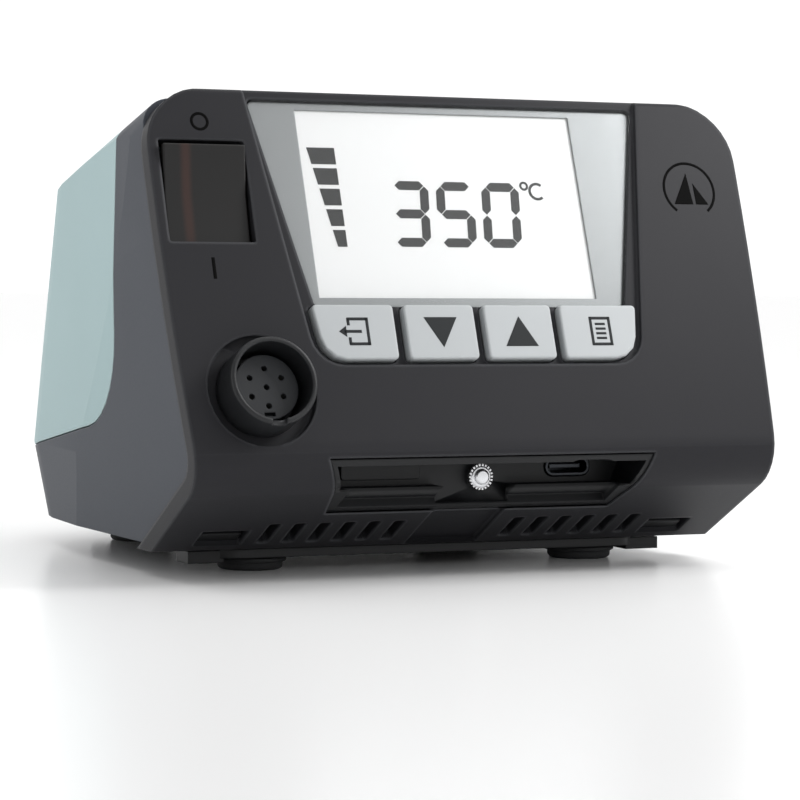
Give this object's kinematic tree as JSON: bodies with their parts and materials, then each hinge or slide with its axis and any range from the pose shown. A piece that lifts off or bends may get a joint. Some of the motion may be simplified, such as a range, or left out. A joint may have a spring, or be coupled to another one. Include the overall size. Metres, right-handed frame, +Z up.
{
  "type": "soldering iron station",
  "caption": "Soldering iron control station: leaning display face with keys, rocker switch and round tool socket, dark case with a pale cover, mains inlet behind.",
  "frame": {"origin": "on the floor, under the middle of the whole unit", "axes": "-Y is the front (the leaning face), +X to the viewer's right, +Z up"},
  "size_m": [0.1376, 0.149, 0.101],
  "materials": {
    "anthracite_panel": "fine satin moulding texture",
    "anthracite_shell": "fine satin moulding texture",
    "bezel_print": "light grey print",
    "black_plastic": "satin",
    "board_green": "solder mask",
    "bright_steel": "bright",
    "capacitor_sleeve": "shrunk sleeve",
    "contact_brass": "plated",
    "core_steel": "varnished laminations",
    "fuse_glass": "clear",
    "grey_terminal": "satin",
    "heatsink_aluminium": "extruded",
    "lcd_face": "white segment display",
    "rocker_black": "satin",
    "rubber_foot": "matt",
    "screw_steel": "zinc plated",
    "silver_key": "satin silver-grey plastic",
    "socket_black": "satin",
    "teal_cover": "satin moulded plastic",
    "white_tray": "white diffuser",
    "winding_copper": "yellow tape over copper wire",
    "window_clear": "clear scratch-resistant plastic"
  },
  "bodies": {
    "station": {"base_plate": "black_plastic", "bonding_socket": "contact_brass", "bonding_stud": "bright_steel", "capacitor_1": "capacitor_sleeve", "capacitor_2": "capacitor_sleeve", "case_screw_1": "screw_steel", "case_screw_2": "screw_steel", "case_screw_3": "screw_steel", "case_screw_4": "screw_steel", "data_port": "bright_steel", "display_bezel": "bezel_print", "display_board": "board_green", "display_window": "window_clear", "foot_front_left": "rubber_foot", "foot_front_right": "rubber_foot", "foot_rear_left": "rubber_foot", "foot_rear_right": "rubber_foot", "front_panel": "anthracite_panel", "heatsink": "heatsink_aluminium", "inlet_blade_earth": "contact_brass", "inlet_blade_line": "contact_brass", "inlet_blade_neutral": "contact_brass", "latch_tab_left": "black_plastic", "latch_tab_right": "black_plastic", "lcd_backlight": "white_tray", "lcd_glass": "lcd_face", "lower_case": "anthracite_shell", "main_board": "board_green", "mains_inlet": "black_plastic", "port_bay": "black_plastic", "port_blank": "black_plastic", "power_switch_body": "black_plastic", "rear_housing": "black_plastic", "rear_screw_left": "screw_steel", "rear_screw_right": "screw_steel", "relay": "black_plastic", "socket_board": "board_green", "socket_insert": "socket_black", "socket_nut": "bright_steel", "socket_shell": "socket_black", "tact_down": "black_plastic", "tact_exit": "black_plastic", "tact_menu": "black_plastic", "tact_up": "black_plastic", "terminal_block": "grey_terminal", "top_cover": "teal_cover", "transformer_bracket": "bright_steel", "transformer_core": "core_steel", "transformer_winding": "winding_copper", "triac": "black_plastic"},
    "key_exit": {"key_exit": "silver_key"},
    "key_down": {"key_down": "silver_key"},
    "key_up": {"key_up": "silver_key"},
    "key_menu": {"key_menu": "silver_key"},
    "power_rocker": {"power_rocker": "rocker_black"},
    "fuse_drawer": {"fuse_drawer": "black_plastic", "fuse": "fuse_glass"}
  },
  "joints": [
    {"name": "key_exit_press", "type": "slide", "parent": "station", "child": "key_exit", "axis": [0, 0.9364, -0.351], "range_m": [0, 0.0008], "stiffness_N_per_m": 400},
    {"name": "key_down_press", "type": "slide", "parent": "station", "child": "key_down", "axis": [0, 0.9364, -0.351], "range_m": [0, 0.0008], "stiffness_N_per_m": 400},
    {"name": "key_up_press", "type": "slide", "parent": "station", "child": "key_up", "axis": [0, 0.9364, -0.351], "range_m": [0, 0.0008], "stiffness_N_per_m": 400},
    {"name": "key_menu_press", "type": "slide", "parent": "station", "child": "key_menu", "axis": [0, 0.9364, -0.351], "range_m": [0, 0.0008], "stiffness_N_per_m": 400},
    {"name": "power_rocker_tilt", "type": "hinge", "parent": "station", "child": "power_rocker", "pos_m": [-0.057, -0.04626, 0.07854], "axis": [1, 0, 0], "range_deg": [-20, 0]},
    {"name": "fuse_drawer_slide", "type": "slide", "parent": "station", "child": "fuse_drawer", "axis": [0, 0.9613, 0.2756], "range_m": [0, 0.015]}
  ]
}
